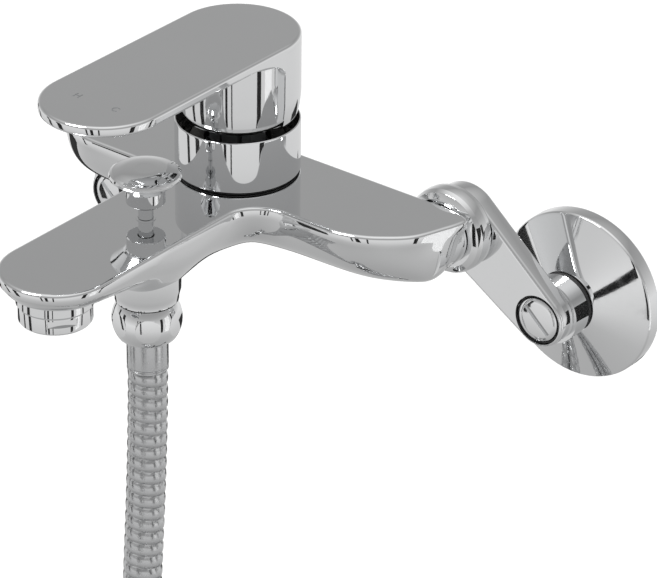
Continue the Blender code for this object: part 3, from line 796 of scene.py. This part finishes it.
def add_arch(build):
    """The web whose curved underside carries the sides of the hub into the plate."""
    underside = HANDLE_TOP - HANDLE_PLATE
    outline = arc((-21, 44), (20, underside + 0.6 - 44), 0, 90, 24)
    outline += [(-21, 52.8), (0, 52.8), (0, 44)]
    turn = Matrix.Rotation(math.pi / 2, 4, "Z") @ Matrix.Rotation(math.pi / 2, 4, "X")
    slab(build, outline, 2 * RING_RADIUS, 0.3, at_axis((0, 0, 0)) @ turn)


def make_mark(letter, across):
    curve = bpy.data.curves.new(f"mark_{letter}", "FONT")
    curve.body = letter
    curve.size = 0.0042
    curve.extrude = 0.00003
    curve.align_x = "CENTER"
    item = bpy.data.objects.new(f"mark_{letter}", curve)
    item.location = place(across, -78, HANDLE_TOP + 0.02)
    bpy.context.scene.collection.objects.link(item)
    curve.materials.append(looks["mark"])
    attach(item, "lever")


def paint_shade_inside(item, radius):
    """Paints shade on the faces that look at the cartridge's axis: a near-black material stands for the
    shadow in the gap inside the cover ring.
    """
    item.data.materials.append(looks["painted_shade"])
    # painted shade: faces inside the given radius that face the axis, or face up or down, get the
    # near-black material
    axis = place(0, 0, 0)
    for face in item.data.polygons:
        out = Vector((face.center.x - axis.x, face.center.y - axis.y, 0))
        if out.length < radius * MM and (out.dot(face.normal) < 0 or abs(face.normal.z) > 0.7):
            face.material_index = 1


def make_ring():
    profile = [(22.1, 20.0), (22.2, 20.7), (22.6, 21.0), (22.95, 20.7), (RING_RADIUS, 20.2)]
    profile += [(RING_RADIUS, 1.3), (22.7, 1.0), (20.9, 1.0), (20.9, 14.5), (22.1, 14.5)]
    ring = lathe_piece("cover_ring_skin", profile, (0, 0, 0), "body", steps=160, soft=0.2)
    # painted shade on the ring's inner wall and inner ledges, standing for the shadow in the gap
    paint_shade_inside(ring, 22.4)


# ---------------------------------------------------------------- diverter and aerator


def make_knob():
    top = [(0, 20.0), (4.0, 19.98), (7.5, 19.8), (9.6, 19.45), (10.8, 19.1), (11.8, 18.9)]
    under = [(12.7, 18.4), (13.1, 17.5), (12.9, 16.7), (12.2, 16.1), (11.0, 15.2)]
    under += [(9.4, 13.7), (8.2, 12.6), (7.4, 12.2), (7.1, 11.8), (7.1, 7.0)]
    profile = [*top, *under, (6.8, 6.6), (3.05, 6.6), (3.05, 15.0), (0, 15.0)]
    at = (0, DIVERTER, 0)
    lathe_piece("diverter_knob_skin", profile, at, "diverter", steps=128, loop=False, soft=0.12)


def make_aerator():
    outside = [(12.9, -12.9), (13.2, -13.3), (13.2, -18.9)]
    inside = [(12.6, -19.6), (10.9, -19.6), (10.3, -19.0), (9.7, -17.6), (9.6, -6.9)]
    inside += [(11.6, -6.9), (11.6, -12.9)]
    build = bmesh.new()
    turned(build, rounded([*outside, *inside], 0.2, True), at_axis((0, AERATOR, 0)), 120, True)
    housing = piece("aerator_housing_skin", build, "body", "chrome", ("aerator_housing",))
    flats = bmesh.new()
    for bearing in (53, 233):
        turn = at_axis((0, AERATOR, 0)) @ Matrix.Rotation(math.radians(bearing), 4, "Z")
        new = bmesh.new()
        bmesh.ops.create_cube(new, size=1.0)
        shape = Matrix.Translation((0, -0.01715, -0.0152)) @ Matrix.Diagonal((0.02, 0.01, 0.0026, 1))
        bmesh.ops.transform(new, matrix=shape, verts=new.verts)
        finish_part(flats, new, turn)
    boolean(housing, flats, "DIFFERENCE")
    make_screen()


def make_screen():
    """The honeycomb face of the flow straightener."""
    build = bmesh.new()
    axis = at_axis((0, AERATOR, 0))
    turned(build, [(9.3, -8.2), (9.3, -17.6), (8.6, -17.9), (8.6, -8.2)], axis, 64, loop=True)
    turned(build, [(0, -14.0), (8.8, -14.0), (8.8, -15.0), (0, -15.0)], axis, 64)
    for ring, number in ((2.6, 6), (5.4, 12), (7.9, 18)):
        for k in range(number):
            angle = 2 * math.pi * k / number
            at = (ring * math.cos(angle), AERATOR + ring * math.sin(angle), 0)
            cell = [(1.25, -15), (1.25, -17.7), (0.95, -17.7), (0.95, -15)]
            turned(build, cell, at_axis(at), 12, loop=True)
    piece("aerator_insert_skin", build, "body", "plastic", ("aerator_insert",))


# ---------------------------------------------------------------- inlets


def wall_axis(side):
    angle = math.radians(BAR_ANGLES[side])
    union = INLET_ACROSS if side == "right" else -INLET_ACROSS
    return union + BAR_LENGTH * math.cos(angle), INLET_HEIGHT + BAR_LENGTH * math.sin(angle)


def bar_outline(side):
    heading = BAR_ANGLES[side]
    big, small = BAR_RADII
    lean = math.degrees(math.acos((big - small) / BAR_LENGTH))
    angle = math.radians(heading)
    far = (BAR_LENGTH * math.cos(angle), BAR_LENGTH * math.sin(angle))
    outline = arc((0, 0), big, heading + lean, heading + 360 - lean, 48)
    return outline + arc(far, small, heading - lean, heading + lean, 40)


def make_bar(side, union, wall):
    build = bmesh.new()
    turn = at_axis((union, (BAR_FRONT + BAR_BACK) / 2, INLET_HEIGHT), "room")
    slab(build, bar_outline(side), BAR_BACK - BAR_FRONT, 1.3, turn)
    bar = piece(f"eccentric_bar_{side}_skin", build, "body", "chrome", (f"eccentric_bar_{side}",))
    cutter = bmesh.new()
    recess = [(0, -30), (9.6, -30), (9.6, -36.7), (0, -36.7)]
    turned(cutter, recess, at_axis((wall[0], 0, wall[1]), "room"), 96)
    boolean(bar, cutter, "DIFFERENCE")
    build = bmesh.new()
    build.from_mesh(bar.data)
    hub = [(8.4, -41.2), (12.0, -41.2), (12.0, -48.8), (11.6, -HUB_BACK), (8.4, -HUB_BACK)]
    turned(build, hub, at_axis((wall[0], 0, wall[1]), "room"), 96, loop=True)
    spigot = [(6.5, -30.3), (12.6, -30.3), (13.0, -30.7), (13.0, -34.4), (6.5, -34.4)]
    turned(build, spigot, at_axis((union, 0, INLET_HEIGHT), "room"), 64, loop=True)
    build.to_mesh(bar.data)
    build.free()
    shade(bar.data, 28)


def make_stop_screw(side, wall):
    at = (wall[0], 0, wall[1])
    profile = [(0, -33.3), (6.5, -33.4), (7.7, -33.65), (8.3, -34.1), (8.45, -34.7)]
    profile += [(8.45, -36.3), (5.0, -36.3), (5.0, -41.6), (0, -41.6)]
    build = bmesh.new()
    turned(build, profile, at_axis(at, "room"), 96)
    screw = piece(f"stop_screw_{side}_skin", build, f"stop_{side}", "chrome", (f"stop_screw_{side}",))
    slot = bmesh.new()
    new = bmesh.new()
    bmesh.ops.create_cube(new, size=1.0)
    shape = Matrix.Diagonal((0.0134, 0.0026, 0.0017, 1))
    bmesh.ops.transform(new, matrix=shape, verts=new.verts)
    turn = Matrix.Rotation(math.radians(STOP_SLOT_ANGLE), 4, "Y")
    finish_part(slot, new, at_axis((wall[0], 33.4, wall[1])) @ turn)
    boolean(screw, slot, "DIFFERENCE")
    ring = arc((9.05, -35.2), 0.45, 0, 360, 12)[:-1]
    build = bmesh.new()
    turned(build, ring, at_axis(at, "room"), 96, loop=True)
    name = f"stop_screw_ring_{side}"
    piece(f"{name}_skin", build, f"stop_{side}", "rubber", (name,))


def make_inlet(side):
    union = INLET_ACROSS if side == "right" else -INLET_ACROSS
    wall = wall_axis(side)
    make_bar(side, union, wall)
    make_stop_screw(side, wall)
    nut = [(9.3, -24.4), (13.2, -24.4), (15.4, -25.3), (16.3, -26.9), (16.5, -28.6)]
    nut += [(16.5, -30.4), (16.2, -32.2), (15.4, -33.4), (13.4, -33.4), (13.4, -26.4), (9.3, -26.4)]
    at = (union, 0, INLET_HEIGHT)
    lathe_piece(f"union_nut_{side}_skin", nut, at, "body", axis="room", steps=128)
    front = -ESCUTCHEON_FRONT
    rim = -(WALL_DEPTH - ESCUTCHEON_RIM)
    edge = ESCUTCHEON_RADIUS
    cone = [(10.6, front), (12.0, front), (edge - 1.2, rim + 0.45), (edge - 0.35, rim + 0.2)]
    cone += [(edge, rim - 0.5), (edge, -WALL_DEPTH), (edge - 1.4, -WALL_DEPTH)]
    cone += [(edge - 1.4, rim - 1.3), (12.4, front - 1.6), (10.6, front - 1.6)]
    at = (wall[0], 0, wall[1])
    lathe_piece(f"escutcheon_{side}_skin", cone, at, "body", axis="room", steps=160)
    seal = arc((11.15, -HUB_BACK - 1.15), (0.65, 0.85), 0, 360, 16)[:-1]
    build = bmesh.new()
    turned(build, seal, at_axis(at, "room"), 96, loop=True)
    piece(f"seal_ring_{side}_skin", build, "body", "rubber", (f"seal_ring_{side}",))


def dress_cad_nodes():
    """Gives each CAD node the look of its slot; the diverter rod and bush are plated chrome, and the brass
    cartridge nut gets the near-black painted shade of the gap inside the cover ring.
    """
    slots = {row["node"]: row["material_slot"] for row in frame["record"]["subparts"]}
    slots["diverter_rod"] = slots["diverter_bush"] = "chrome"
    # painted shade: the brass cartridge nut is made near-black to stand for the shadow inside the cover
    # ring, not for its own colour
    slots["cartridge_nut"] = "painted_shade"
    for name, item in frame["nodes"].items():
        item.data.materials.clear()
        item.data.materials.append(looks[slots[name]])
        shade(item.data, 40)


looks = make_looks()
make_camera()
make_world()
make_sun()
make_stage()
dress_cad_nodes()

hose, centre_line = make_hose()
fittings = make_hose_fittings()
make_body()
make_handle()
make_ring()
make_knob()
make_aerator()
for inlet in ("right", "left"):
    make_inlet(inlet)
